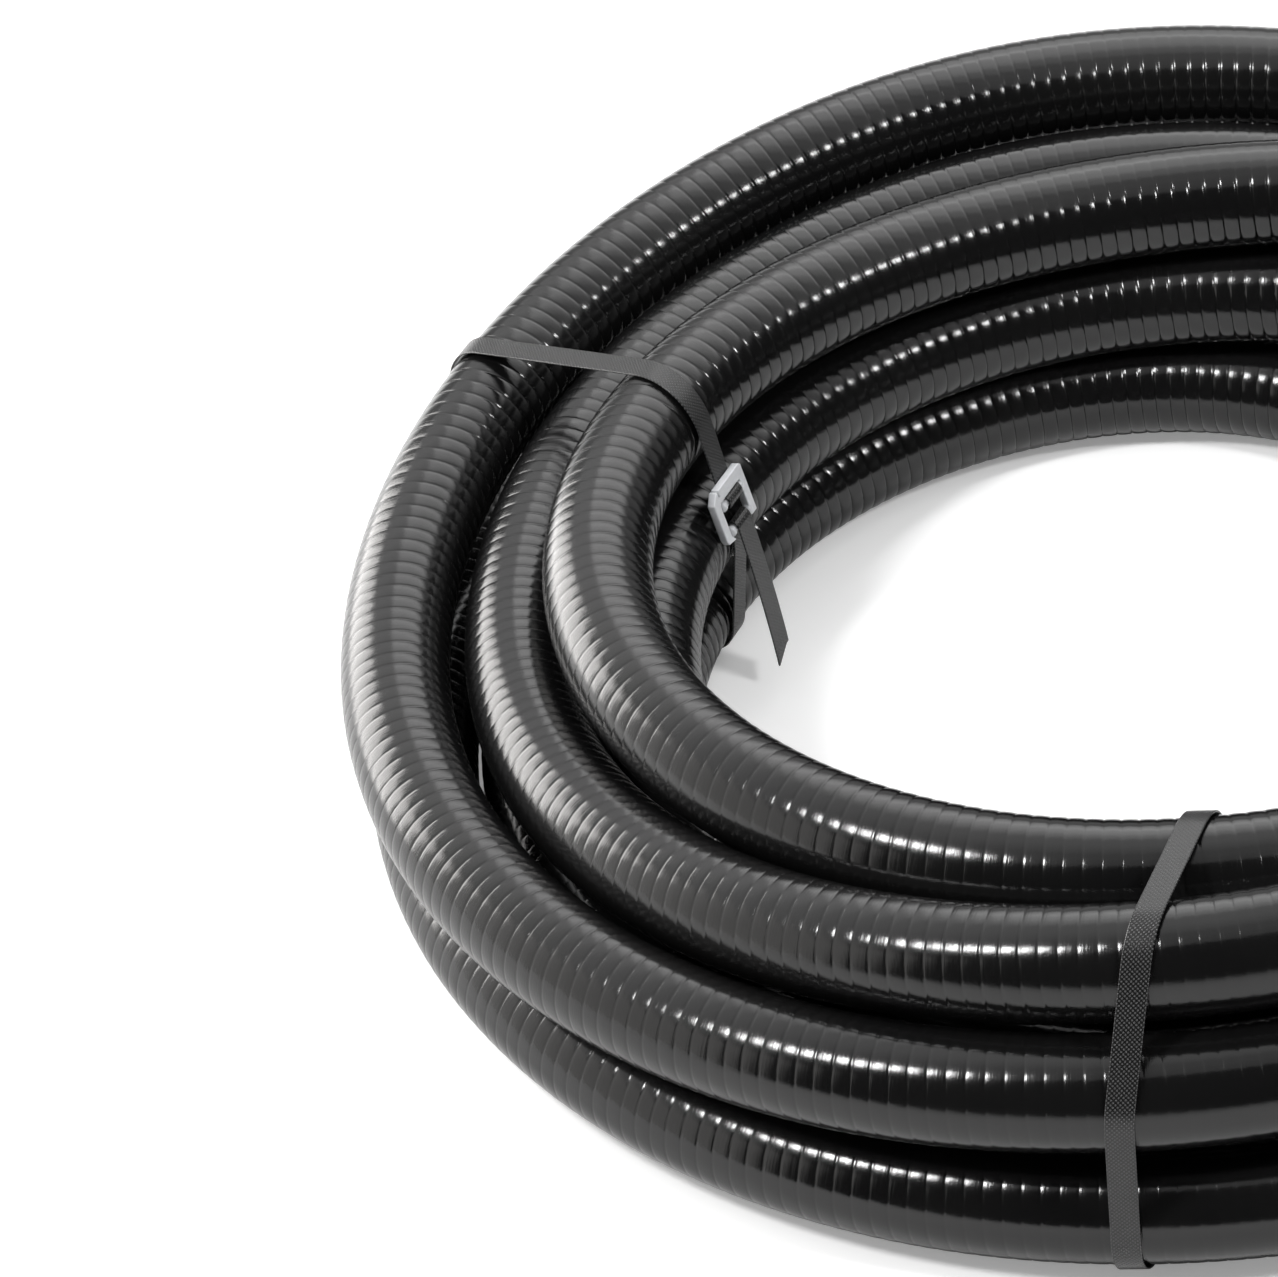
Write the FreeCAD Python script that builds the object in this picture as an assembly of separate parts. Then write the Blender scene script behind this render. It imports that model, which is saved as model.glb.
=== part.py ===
import FreeCAD, Part
import math
import os

# A coiled length of ribbed hose for a pool vacuum, held by three strapping bands with plastic
# buckles. The coil lies flat. Seen from above, its turns run anticlockwise, and the places round
# it are named as the viewer sees them: right (+X), back (+Y), left (-X) and front (-Y).
# The origin is the middle of the footprint on the ground, +Z is up. All sizes are in millimetres.

Vector = FreeCAD.Vector

# Hose: over its ribs and through its bore
hose_width = 50.0
hose_bore = 43.0
straight_end = 50.0

# Coil: the innermost berth's centre line at the back, and the least space left between turns
inner_berth = 220.0
turn_gap = 1.0
# Where the coil's axis stands, as the outermost turn bulges to the right and to the back
coil_axis = (-10.0, -4.5)
# How strongly a turn leans towards its next place as it passes a quarter: 1 is a full spline
sway = 0.7

# Strapping: polypropylene band, and how far it stands off the hose
strap_width = 12.0
strap_thickness = 1.0
strap_clearance = 1.0
# Each strap: its name, where it crosses the coil in degrees anticlockwise from +X, and how far it
# is turned there from square to the hose. It crosses there at strap_reach from the coil's axis.
strap_places = (("left", 148.0, 15.0), ("front", 259.3, 14.5), ("right", 24.0, 5.0))
strap_reach = 305.0

# Buckle: a flat frame with two prongs, open at one end so that the folded strap slips on
prong_width = 4.0
prong_spacing = 14.0
fold_clearance = 0.4
knob_width = 5.2
knob_length = 3.6
knob_opening = 1.0
side_clearance = 1.6
rail_width = 3.6
crossbar_width = 5.0
plate_thickness = 4.0
plate_corner = 1.4
plate_edge = 0.9

# How high the buckle sits on the coil's inner side: 0 is the lowest turn's middle, 1 the highest's
buckle_share = 0.65

# Free end of each strap, which bends off the lower prong and ends a little above the ground
tail_radius = 200.0
tail_bend = 1.0
tail_ground_gap = 14.0
tip_length = 14.0

# Coil turns, each at the back, left, front and right, as (lane, layer). Lanes count outwards in
# berths from the inner one, and layers upwards from the ground. A turn that changes layer is on
# its way up or down at the numbers between.
start_place = (-0.59, 0.0)
turns = (
    ((0.16, 0.0), (0.56, 0.0), (0.23, 0.0), (0.63, 0.0)),
    ((1.18, 0.0), (1.57, 0.0), (1.25, 0.0), (1.70, 0.0)),
    ((2.20, 0.0), (2.58, 0.0), (2.28, 0.05), (3.05, 0.6)),
    ((2.50, 1.88), (2.69, 1.05), (2.13, 1.25), (1.39, 1.03)),
    ((1.66, 1.32), (1.56, 1.16), (1.62, 2.20), (1.48, 2.06)),
    ((0.15, 2.03), (0.78, 2.02), (0.52, 2.02), (0.40, 1.26)),
    ((0.13, 1.0), (0.46, 1.0), (0.92, 1.0)),
)

# Spacing of the points at which the finished path is measured, and the least straight run and
# the least turn, in radians, that get an edge of their own in a strap
measuring_step = 10.0
least_run = 0.001
least_sweep = 0.0001

quarter = math.pi / 2.0
berth_step = hose_width + turn_gap
rest_height = hose_width / 2.0 + strap_clearance + strap_thickness


def place_to_centre(place):
    """Radius and height of the hose's centre line at a (lane, layer) place."""
    lane, layer = place
    return (inner_berth + lane * berth_step, rest_height + layer * berth_step)


def coil_stations():
    """Points and directions of the centre line, one pair at each quarter of each turn."""
    places = [start_place]
    for turn in turns:
        places.extend(turn)
    centres = [place_to_centre(place) for place in places]
    last = len(centres) - 1
    stations = []
    for index, (radius, height) in enumerate(centres):
        angle = index * quarter
        outward = Vector(math.cos(angle), math.sin(angle), 0)
        onward = Vector(-math.sin(angle), math.cos(angle), 0)
        spread = 0.0
        climb = 0.0
        if 0 < index < last:
            before = centres[index - 1]
            after = centres[index + 1]
            spread = sway * (after[0] - before[0]) / (2.0 * quarter)
            # On the ground a turn lies level, so that it never dips below it
            if height > rest_height:
                climb = sway * (after[1] - before[1]) / (2.0 * quarter)
        point = outward * radius + Vector(0, 0, height)
        direction = outward * spread + onward * radius + Vector(0, 0, climb)
        stations.append((point, direction.normalize()))
    return stations


def tangent_arc(start, direction, end):
    """Arc from start to end that leaves along direction, with its radius."""
    chord = end - start
    sideways = chord - direction * chord.dot(direction)
    radius = chord.dot(chord) / (2.0 * sideways.Length)
    centre = start + sideways.normalize() * radius
    halfway = (start + end) * 0.5 - centre
    middle = centre + halfway.normalize() * radius
    return Part.Arc(start, middle, end).toShape(), radius


def biarc(start, start_direction, end, end_direction):
    """Two arcs that join smoothly, from one station to the next."""
    chord = end - start
    both = start_direction + end_direction
    opening = 2.0 * (1.0 - start_direction.dot(end_direction))
    along = chord.dot(both)
    reach = (math.sqrt(along * along + opening * chord.dot(chord)) - along) / opening
    joint = (start + end + (start_direction - end_direction) * reach) * 0.5
    first, first_radius = tangent_arc(start, start_direction, joint)
    second, second_radius = tangent_arc(end, end_direction * -1.0, joint)
    second.reverse()
    return [first, second], min(first_radius, second_radius)


def coil_path():
    """The hose's whole centre line: a straight end, the coil in biarcs and a straight end."""
    stations = coil_stations()
    first_point, first_direction = stations[0]
    last_point, last_direction = stations[-1]
    lead_in = first_point - first_direction * straight_end
    lead_out = last_point + last_direction * straight_end
    edges = [Part.LineSegment(lead_in, first_point).toShape()]
    tightest = inner_berth
    for (start, start_direction), (end, end_direction) in zip(stations, stations[1:]):
        arcs, radius = biarc(start, start_direction, end, end_direction)
        edges.extend(arcs)
        tightest = min(tightest, radius)
    edges.append(Part.LineSegment(last_point, lead_out).toShape())
    return edges, tightest


def path_points(edges, spacing):
    """Points along the path, about spacing apart, in order."""
    points = [edges[0].valueAt(edges[0].FirstParameter)]
    for edge in edges:
        count = max(2, round(edge.Length / spacing))
        run = edge.discretize(count + 1)
        if (run[0] - points[-1]).Length > (run[-1] - points[-1]).Length:
            run.reverse()
        points.extend(run[1:])
    return points


def distance_to_run(point, start, end):
    """Distance from a point to the straight run from start to end."""
    run = end - start
    share = (point - start).dot(run) / run.dot(run)
    share = min(1.0, max(0.0, share))
    return (point - start - run * share).Length


def least_gap(points, spacing):
    """Least space between the hose and itself, over points more than half a turn apart."""
    apart = int(math.pi * inner_berth / spacing)
    near = 2.0 * hose_width
    least = near
    for first, point in enumerate(points):
        for second in range(first + apart, len(points) - 1):
            start = points[second]
            if abs(start.x - point.x) > near or abs(start.y - point.y) > near:
                continue
            least = min(least, distance_to_run(point, start, points[second + 1]))
    return least - hose_width


def swept_tube(path, start, direction, width):
    """Solid of round section along a path."""
    ring = Part.Wire(Part.makeCircle(width / 2.0, start, direction))
    sweep = Part.BRepOffsetAPI.MakePipeShell(path)
    sweep.add(ring)
    sweep.build()
    sweep.makeSolid()
    return sweep.shape()


def make_hose(edges):
    """The hose, with its bore open from end to end."""
    path = Part.Wire(edges)
    first_point, first_direction = coil_stations()[0]
    start = first_point - first_direction * straight_end
    outside = swept_tube(path, start, first_direction, hose_width)
    inside = swept_tube(path, start, first_direction, hose_bore)
    return outside.cut(inside)


class StrapPlace:
    """Where a strap crosses the coil, seen in a section square to the hose.

    A place in the section is a pair: reach outwards from the coil's axis, and height.
    """

    def __init__(self, azimuth, skew):
        angle = math.radians(azimuth)
        self.outward = Vector(math.cos(angle), math.sin(angle), 0)
        self.onward = Vector(-math.sin(angle), math.cos(angle), 0)
        self.slant = math.tan(math.radians(skew))
        # Measured along the hose, a slanting strap is wider than it is across
        self.width = strap_width / math.cos(math.radians(skew))

    def slip(self, reach):
        """How far along the hose the strap lies at a reach."""
        return -self.slant * (reach - strap_reach)

    def in_space(self, place, along=0.0):
        """Point in space of a place in the section, moved along the hose with the strap."""
        reach, height = place
        across = self.onward * (self.slip(reach) + along)
        return self.outward * reach + across + Vector(0, 0, height)

    def direction(self, heading):
        """Direction in space of a heading in the section, without the slant."""
        return self.outward * heading[0] + Vector(0, 0, heading[1])

    def crossings(self, points, along):
        """Centres of the hose where it passes a line that lies along from the strap's middle."""
        found = []
        before = None
        for point in points:
            reach = point.dot(self.outward)
            offset = point.dot(self.onward) - self.slip(reach) - along
            now = (offset, reach, point.z)
            if before and reach > 0 and before[0] < 0 <= offset:
                share = -before[0] / (offset - before[0])
                found.append((before[1] + share * (reach - before[1]),
                              before[2] + share * (point.z - before[2])))
            before = now
        return found

    def hull(self, points):
        """Centres that the tight strap goes round, over its width and its slant on the hose."""
        spread = (self.width + self.slant * hose_width) / 2.0
        centres = []
        for along in (-spread, 0.0, spread):
            centres.extend(self.crossings(points, along))
        return outer_centres(centres)


def turns_left(a, b, c):
    """Whether the way from a through b to c bends to the left."""
    return (b[0] - a[0]) * (c[1] - b[1]) - (b[1] - a[1]) * (c[0] - b[0]) > 0


def outer_centres(centres):
    """The centres that a tight band round them all touches, anticlockwise."""
    ordered = sorted(centres)
    halves = []
    for run in (ordered, ordered[::-1]):
        half = []
        for centre in run:
            while len(half) > 1 and not turns_left(half[-2], half[-1], centre):
                half.pop()
            half.append(centre)
        halves.append(half[:-1])
    return halves[0] + halves[1]


def moved(place, heading, distance):
    """A place moved by a distance along a heading."""
    return (place[0] + heading[0] * distance, place[1] + heading[1] * distance)


def heading_between(start, end):
    """Unit heading from one place to another, and the distance."""
    across = end[0] - start[0]
    up = end[1] - start[1]
    distance = math.hypot(across, up)
    return (across / distance, up / distance), distance


def right_of(heading):
    """The heading a quarter turn to the right."""
    return (heading[1], -heading[0])


def turned(heading, angle):
    """A heading turned to the left by an angle in radians."""
    cosine = math.cos(angle)
    sine = math.sin(angle)
    return (heading[0] * cosine - heading[1] * sine, heading[0] * sine + heading[1] * cosine)


def tangent_heading(start_round, end_round):
    """Heading of a band that leaves one round and meets the next.

    A round is (centre, radius, turn), where turn is 1 for anticlockwise and -1 for clockwise.
    """
    (start, start_radius, start_turn), (end, end_radius, end_turn) = start_round, end_round
    heading, distance = heading_between(start, end)
    lean = math.asin((start_turn * start_radius - end_turn * end_radius) / distance)
    return turned(heading, lean)


def touch_place(one_round, heading, shift=0.0):
    """Where a band with a heading touches a round, or that place shifted to its right."""
    centre, radius, turn = one_round
    return moved(centre, right_of(heading), turn * radius + shift)


def sweep_between(heading, next_heading, turn):
    """Angle from one heading to the next, anticlockwise if turn is 1 and clockwise if -1."""
    angle = math.atan2(next_heading[1], next_heading[0]) - math.atan2(heading[1], heading[0])
    return turn * ((turn * angle) % (2.0 * math.pi))


def band_side(strap, rounds, headings, lead, shift):
    """Edges of one side of a band that runs round the rounds, and the side's two ends.

    headings[i] leads to round i and the last one leaves the last round. lead is the straight
    length before the first round, and shift is how far to the right of the band's middle it is.
    """
    def run(start, end):
        return Part.LineSegment(strap.in_space(start), strap.in_space(end)).toShape()

    def bend(start, middle, end):
        places = [strap.direction(place) for place in (start, middle, end)]
        return slanted(strap, Part.Arc(*places).toShape())

    last = moved(touch_place(rounds[0], headings[0], shift), headings[0], -lead)
    first = last
    edges = []
    for index, one_round in enumerate(rounds):
        heading = headings[index]
        sweep = sweep_between(heading, headings[index + 1], one_round[2])
        entry = touch_place(one_round, heading, shift)
        middle = touch_place(one_round, turned(heading, sweep / 2.0), shift)
        leave = touch_place(one_round, turned(heading, sweep), shift)
        if math.hypot(entry[0] - last[0], entry[1] - last[1]) > least_run:
            edges.append(run(last, entry))
        if abs(sweep) > least_sweep:
            edges.append(bend(entry, middle, leave))
            last = leave
        else:
            last = entry
    return edges, strap.in_space(first), strap.in_space(last)


def buckle_seat(hull, radius):
    """Where the band passes the buckle's height on the coil's inner side.

    Gives the place, the band's downward heading there, and the centres that the band goes round
    between the lower prong and the upper one.
    """
    heights = [centre[1] for centre in hull]
    level = min(heights) + buckle_share * (max(heights) - min(heights))
    count = len(hull)
    for index, centre in enumerate(hull):
        before = hull[index - 1]
        after = hull[(index + 1) % count]
        heading_in = heading_between(before, centre)[0]
        heading_out = heading_between(centre, after)[0]
        entry = moved(centre, right_of(heading_in), radius)
        leave = moved(centre, right_of(heading_out), radius)
        if heading_in[1] < 0 and entry[1] > level >= leave[1]:
            across = (centre[1] - level) / radius
            heading = (across, -math.sqrt(1.0 - across * across))
            place = moved(centre, right_of(heading), radius)
            return place, heading, hull[index + 1:] + hull[:index]
        arrival = moved(after, right_of(heading_out), radius)
        if heading_out[1] < 0 and leave[1] > level >= arrival[1]:
            share = (leave[1] - level) / (leave[1] - arrival[1])
            place = moved(leave, heading_out, share * heading_between(leave, arrival)[1])
            return place, heading_out, hull[index + 1:] + hull[:index + 1]
    raise ValueError("the band has no inner side")


def slanted(strap, shape):
    """A shape in the strap's section, moved along the hose with the strap. It becomes a spline."""
    outward, onward, slant = strap.outward, strap.onward, strap.slant
    matrix = FreeCAD.Matrix(
        1.0 - slant * onward.x * outward.x, -slant * onward.x * outward.y, 0.0,
        slant * strap_reach * onward.x,
        -slant * onward.y * outward.x, 1.0 - slant * onward.y * outward.y, 0.0,
        slant * strap_reach * onward.y,
        0.0, 0.0, 1.0, 0.0,
        0.0, 0.0, 0.0, 1.0)
    return shape.transformGeometry(matrix)


def make_strap(strap, hull):
    """One strap with its folded ends and tail, and the frame in which its buckle sits."""
    wrap_radius = hose_width / 2.0 + strap_clearance + strap_thickness / 2.0
    fold_radius = prong_width / 2.0 + fold_clearance + strap_thickness / 2.0
    seat, down, wrapped = buckle_seat(hull, wrap_radius)
    out = right_of(down)
    up = (-down[0], -down[1])
    middle = moved(seat, out, fold_radius)
    upper = (moved(middle, up, prong_spacing / 2.0), fold_radius, -1)
    lower = (moved(middle, down, prong_spacing / 2.0), fold_radius, -1)
    tail_top = moved(lower[0], out, fold_radius)
    tail = (moved(tail_top, out, tail_radius), tail_radius, 1)
    rounds = [lower] + [(centre, wrap_radius, 1) for centre in wrapped] + [upper]
    headings = [tangent_heading(*pair) for pair in zip(rounds, rounds[1:])]
    tail_up = turned(up, -math.radians(tail_bend))
    headings = [tail_up, up] + headings + [turned(down, quarter)]
    rounds = [tail] + rounds
    tail_foot = touch_place(tail, tail_up)
    lead = (tail_foot[1] - tail_ground_gap - strap_thickness / 2.0) / tail_up[1]
    half = strap_thickness / 2.0
    right, right_start, right_end = band_side(strap, rounds, headings, lead, half)
    left, left_start, left_end = band_side(strap, rounds, headings, lead, -half)
    caps = [Part.LineSegment(right_start, left_start).toShape(),
            Part.LineSegment(right_end, left_end).toShape()]
    outline = Part.Wire(Part.__sortEdges__(right + left + caps))
    band = Part.Face(outline)
    band.translate(strap.onward * (-strap.width / 2.0))
    band = band.extrude(strap.onward * strap.width)
    tip = moved(tail_foot, tail_up, -lead)
    band = band.cut(tip_cutter(strap, tip, tail_up))
    return band, (middle, up, out)


def tip_cutter(strap, tip, tail_up):
    """Wedge that cuts the end of the tail slantwise to a point."""
    def corner(along, back):
        return strap.in_space(moved(tip, tail_up, back), along)

    spare = strap_thickness
    depth = 10.0 * strap_thickness
    side = -strap.width / 2.0 - spare
    far_side = strap.width / 2.0
    corners = [corner(side, -spare), corner(far_side, -spare), corner(far_side, 0.0),
               corner(side, tip_length)]
    wedge = Part.Face(Part.makePolygon(corners + corners[:1]))
    through = strap.direction(right_of(tail_up))
    wedge.translate(through * -depth)
    return wedge.extrude(through * 2.0 * depth)


def make_buckle():
    """One buckle: x along the hose, y up the strap, z outwards, with the origin at its middle."""
    room = strap_width + 2.0 * side_clearance
    closed_inner = -room / 2.0
    knob_end = room / 2.0 + knob_length
    open_inner = knob_end + knob_opening
    closed_outer = closed_inner - rail_width
    open_outer = open_inner + rail_width
    fold_reach = prong_width / 2.0 + fold_clearance + strap_thickness
    bar_bottom = prong_spacing / 2.0 + fold_reach + fold_clearance
    bar_top = bar_bottom + crossbar_width
    foot = -prong_spacing / 2.0 - knob_width / 2.0
    corners = ((closed_outer, foot), (closed_inner, foot), (closed_inner, bar_bottom),
               (open_inner, bar_bottom), (open_inner, foot), (open_outer, foot),
               (open_outer, bar_top), (closed_outer, bar_top))
    bottom = -plate_thickness / 2.0
    points = [Vector(x, y, bottom) for x, y in corners]
    plate = Part.Face(Part.makePolygon(points + points[:1])).extrude(Vector(0, 0, plate_thickness))
    uprights = [edge for edge in plate.Edges if edge.BoundBox.ZLength > plate_thickness / 2.0]
    plate = plate.makeFillet(plate_corner, uprights)
    rims = [edge for edge in plate.Edges if edge.BoundBox.ZLength < plate_thickness / 2.0]
    buckle = plate.makeFillet(plate_edge, rims)
    sunk = rail_width / 2.0
    for level in (-prong_spacing / 2.0, prong_spacing / 2.0):
        root = Vector(closed_inner - sunk, level, 0)
        length = knob_end - closed_inner + sunk
        prong = Part.makeCylinder(prong_width / 2.0, length, root, Vector(1, 0, 0))
        knob_root = Vector(room / 2.0, level, 0)
        knob = Part.makeCylinder(knob_width / 2.0, knob_length, knob_root, Vector(1, 0, 0))
        buckle = buckle.fuse(prong.fuse(knob))
    return buckle.removeSplitter()


def seat_buckle(strap, buckle, frame):
    """The buckle moved to its seat on a strap."""
    middle, up, out = frame
    x_axis = strap.onward
    y_axis = strap.direction(up)
    z_axis = strap.direction(out)
    place = strap.in_space(middle)
    matrix = FreeCAD.Matrix(
        x_axis.x, y_axis.x, z_axis.x, place.x,
        x_axis.y, y_axis.y, z_axis.y, place.y,
        x_axis.z, y_axis.z, z_axis.z, place.z,
        0.0, 0.0, 0.0, 1.0)
    seated = buckle.copy()
    seated.Placement = FreeCAD.Placement(matrix)
    return seated


def report_and_write(name, shape):
    """Moves the shape to the coil's axis, prints its facts and writes its file."""
    shape.translate(Vector(coil_axis[0], coil_axis[1], 0))
    box = shape.BoundBox
    print("%-14s solids %d volume %.0f valid %s  x %.1f %.1f  y %.1f %.1f  z %.1f %.1f" % (
        name, len(shape.Solids), shape.Volume, shape.isValid(),
        box.XMin, box.XMax, box.YMin, box.YMax, box.ZMin, box.ZMax))
    shape.exportStep("parts/%s.step" % name)


def main():
    os.makedirs("parts", exist_ok=True)
    edges, tightest = coil_path()
    length = sum(edge.Length for edge in edges)
    points = path_points(edges, measuring_step)
    print("hose length %.0f, turns %.2f" % (length, (4 * len(turns) - 1) / 4.0))
    print("tightest bend radius %.0f" % tightest)
    print("least gap of the hose to itself %.2f" % least_gap(points, measuring_step))
    hose = make_hose(edges)
    section = math.pi / 4.0 * (hose_width ** 2 - hose_bore ** 2)
    print("hose volume over section times length %.4f" % (hose.Volume / (section * length)))
    report_and_write("hose", hose)
    buckle = make_buckle()
    for name, azimuth, skew in strap_places:
        strap = StrapPlace(azimuth, skew)
        band, frame = make_strap(strap, strap.hull(points))
        report_and_write("strap_" + name, band)
        report_and_write("buckle_" + name, seat_buckle(strap, buckle, frame))


main()
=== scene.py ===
# %% [markdown]
# A coil of pool vacuum hose
#
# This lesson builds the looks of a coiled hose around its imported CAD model. The real object is
# twelve metres of glossy black flexible pipe with a fine spiral groove, piled in loose layers and
# tied by three plastic straps with small milky buckles. The CAD model holds the right sizes, but
# its hose is a smooth tube, so here the hose gets its ribs, the straps get their embossed
# surface, and the buckles get their moulded shape.

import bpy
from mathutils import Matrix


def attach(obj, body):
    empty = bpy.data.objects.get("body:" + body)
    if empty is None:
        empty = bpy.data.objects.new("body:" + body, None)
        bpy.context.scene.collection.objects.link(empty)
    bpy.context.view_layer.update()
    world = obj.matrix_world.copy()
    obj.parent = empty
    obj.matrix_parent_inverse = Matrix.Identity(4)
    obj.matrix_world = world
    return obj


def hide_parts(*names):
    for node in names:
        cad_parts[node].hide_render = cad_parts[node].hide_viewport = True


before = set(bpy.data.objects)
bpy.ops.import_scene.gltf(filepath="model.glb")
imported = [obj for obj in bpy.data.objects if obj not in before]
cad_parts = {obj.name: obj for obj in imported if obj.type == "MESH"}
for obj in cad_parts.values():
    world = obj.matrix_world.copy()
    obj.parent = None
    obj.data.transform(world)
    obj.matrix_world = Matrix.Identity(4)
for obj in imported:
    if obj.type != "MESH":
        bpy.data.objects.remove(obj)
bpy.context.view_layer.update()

# %% Tools that the lesson uses
import math

import bmesh
import bpy
import numpy as np
from mathutils import Matrix, Vector

# %% [markdown]
# The camera
#
# The photograph shows the left half of the coil from above at about forty degrees, with a long
# lens and slightly tilted. A camera could be placed by eye, but here its numbers come from
# fitting the coil's outline to the photograph, so that every turn of hose lands where it should.

# %% Place the camera
coil_axis = Vector((-0.0100, -0.0045, 0.0))
picture_width = 1278
picture_middle = Vector((639.0, 638.5))


def new_object(name, data):
    """An object in the scene, at the origin."""
    thing = bpy.data.objects.new(name, data)
    bpy.context.scene.collection.objects.link(thing)
    return thing


def place_camera(height_angle, distance, lens_pixels, axis_pixel, roll):
    """Camera that sees the coil's axis, at ground level, at a given pixel."""
    tilt = math.radians(height_angle)
    turn = math.radians(roll)
    forward = Vector((0, math.cos(tilt), -math.sin(tilt)))
    level = Vector((1, 0, 0))
    upright = level.cross(forward)
    right = level * math.cos(turn) + upright * math.sin(turn)
    up = upright * math.cos(turn) - level * math.sin(turn)
    sideways = (axis_pixel[0] - picture_middle.x) / lens_pixels
    upwards = (picture_middle.y - axis_pixel[1]) / lens_pixels
    sight = Vector((sideways, upwards, 1.0)).normalized() * distance
    place = coil_axis - right * sight.x - up * sight.y - forward * sight.z
    data = bpy.data.cameras.new("photo_camera")
    data.sensor_fit = "HORIZONTAL"
    data.sensor_width = 36.0
    data.lens = lens_pixels / picture_width * data.sensor_width
    data.clip_end = 100.0
    camera = new_object("photo_camera", data)
    turning = Matrix((right, up, -forward)).transposed().to_4x4()
    camera.matrix_world = Matrix.Translation(place) @ turning
    return camera


camera = place_camera(
    height_angle=39.420,
    distance=2.8916,
    lens_pixels=6261.2,
    axis_pixel=(1189.35, 726.36),
    roll=-8.378,
)
bpy.context.scene.camera = camera
print("camera at", [round(value, 3) for value in camera.matrix_world.translation])

# %% [markdown]
# The hose's route
#
# A stiff hose is coiled by hand, so no two of its turns are alike: each lies where the turns
# under it leave room. The route is written as a table of places, one at the back, left, front and
# right of each turn. A place is a lane, counted outwards, and a layer, counted upwards. Between
# those places the lane and the layer change smoothly, and a loop turns them into two dozen points
# for each turn. The points are the control points of one NURBS spline, because a spline bends
# evenly, as a hose does, where arcs joined together would show their joints.

# %% Where each turn lies
hose_width = 0.050
inner_berth = 0.220
berth_step = 0.051
rest_height = 0.027
straight_end = 0.050
sway = 0.7

turn_table = (
    ((0.16, 0.0), (0.56, 0.0), (0.23, 0.0), (0.63, 0.0)),
    ((1.18, 0.0), (1.57, 0.0), (1.25, 0.0), (1.70, 0.0)),
    ((2.20, 0.0), (2.58, 0.0), (2.28, 0.05), (3.05, 0.6)),
    ((2.50, 1.88), (2.69, 1.05), (2.13, 1.25), (1.39, 1.03)),
    ((1.66, 1.32), (1.56, 1.16), (1.62, 2.20), (1.48, 2.06)),
    ((0.15, 2.03), (0.78, 2.02), (0.52, 2.02), (0.40, 1.26)),
    ((0.13, 1.0), (0.46, 1.0), (0.92, 1.0)),
)
places = [(-0.59, 0.0)] + [place for turn in turn_table for place in turn]
lanes = [place[0] for place in places]
layers = [place[1] for place in places]
print("the coil has", (len(places) - 1) / 4, "turns")


# %% Turn the table into control points
def leaning(numbers, index):
    """How fast a number changes at a place, from its neighbours. It stays level on the ground."""
    if index in (0, len(numbers) - 1) or (numbers is layers and numbers[index] == 0.0):
        return 0.0
    return sway * (numbers[index + 1] - numbers[index - 1]) / 2


def between(numbers, index, share):
    """A number part of the way from one place to the next, with no kink at either."""
    back = 1 - share
    return (
        numbers[index] * back * back * (1 + 2 * share)
        + numbers[index + 1] * share * share * (3 - 2 * share)
        + leaning(numbers, index) * share * back * back
        - leaning(numbers, index + 1) * share * share * back
    )


points_per_quarter = 6
point_angle = math.pi / 2 / points_per_quarter
# A spline of this order runs inside its control points by this factor
outside = 1 / math.cos(point_angle / 2)


def coil_point(step):
    """Control point number step, counted from the hose's start at the right."""
    index = min(step // points_per_quarter, len(places) - 2)
    share = step / points_per_quarter - index
    radius = (inner_berth + berth_step * between(lanes, index, share)) * outside
    height = rest_height + berth_step * between(layers, index, share)
    angle = step * point_angle
    return coil_axis + Vector((radius * math.cos(angle), radius * math.sin(angle), height))


last_step = (len(places) - 1) * points_per_quarter
route_points = [coil_point(step) for step in range(last_step + 1)]
lead_in = route_points[0] - Vector((0, straight_end, 0))
lead_out = route_points[-1] + Vector((straight_end, 0, 0))
route_points = [lead_in] + route_points + [lead_out]
print(len(route_points), "control points")


# %% Make the spline and read the line that it gives
def make_route(points):
    """One open NURBS spline through the control points, as a curve with no thickness."""
    data = bpy.data.curves.new("route", "CURVE")
    data.dimensions = "3D"
    data.resolution_u = 8
    spline = data.splines.new("NURBS")
    spline.points.add(len(points) - 1)
    for control, point in zip(spline.points, points):
        control.co = (*point, 1.0)
    spline.order_u = 3
    spline.use_endpoint_u = True
    return new_object("route", data)


route = make_route(route_points)
route_mesh = bpy.data.meshes.new_from_object(route)
route_line = np.array([vertex.co for vertex in route_mesh.vertices])
route_steps = np.linalg.norm(np.diff(route_line, axis=0), axis=1)
hose_length = float(route_steps.sum())
bpy.data.meshes.remove(route_mesh)
print("the hose is %.3f m long, in %d short runs" % (hose_length, len(route_steps)))

# %% [markdown]
# Small tools for nodes
#
# Node trees are drawn by hand in Blender's window, but a script can write the same trees as
# sums. One class wraps the output of a node, so that `1 - mask` adds the Math node that it needs.
# One method adds any other node: it takes the node's type, its settings, which are set first, and
# what goes into its sockets. The same tools serve shaders and Geometry Nodes.


# %% A term in a node tree
class Term:
    """A node's output. Sums, products and powers of terms add their Math nodes."""

    def __init__(self, tree, socket):
        self.tree = tree
        self.socket = socket

    def math(self, operation, *others):
        """This term with any Math node's operation."""
        return self.tree.math(operation, self, *others)

    def other(self, name):
        """Another output of this term's node."""
        return Term(self.tree, self.socket.node.outputs[name])

    def __add__(self, other):
        return self.tree.math("ADD", self, other)

    def __radd__(self, other):
        return self.tree.math("ADD", other, self)

    def __sub__(self, other):
        return self.tree.math("SUBTRACT", self, other)

    def __rsub__(self, other):
        return self.tree.math("SUBTRACT", other, self)

    def __mul__(self, other):
        return self.tree.math("MULTIPLY", self, other)

    def __rmul__(self, other):
        return self.tree.math("MULTIPLY", other, self)

    def __truediv__(self, other):
        return self.tree.math("DIVIDE", self, other)

    def __rtruediv__(self, other):
        return self.tree.math("DIVIDE", other, self)

    def __pow__(self, other):
        return self.tree.math("POWER", self, other)

    def __rpow__(self, other):
        return self.tree.math("POWER", other, self)


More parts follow.
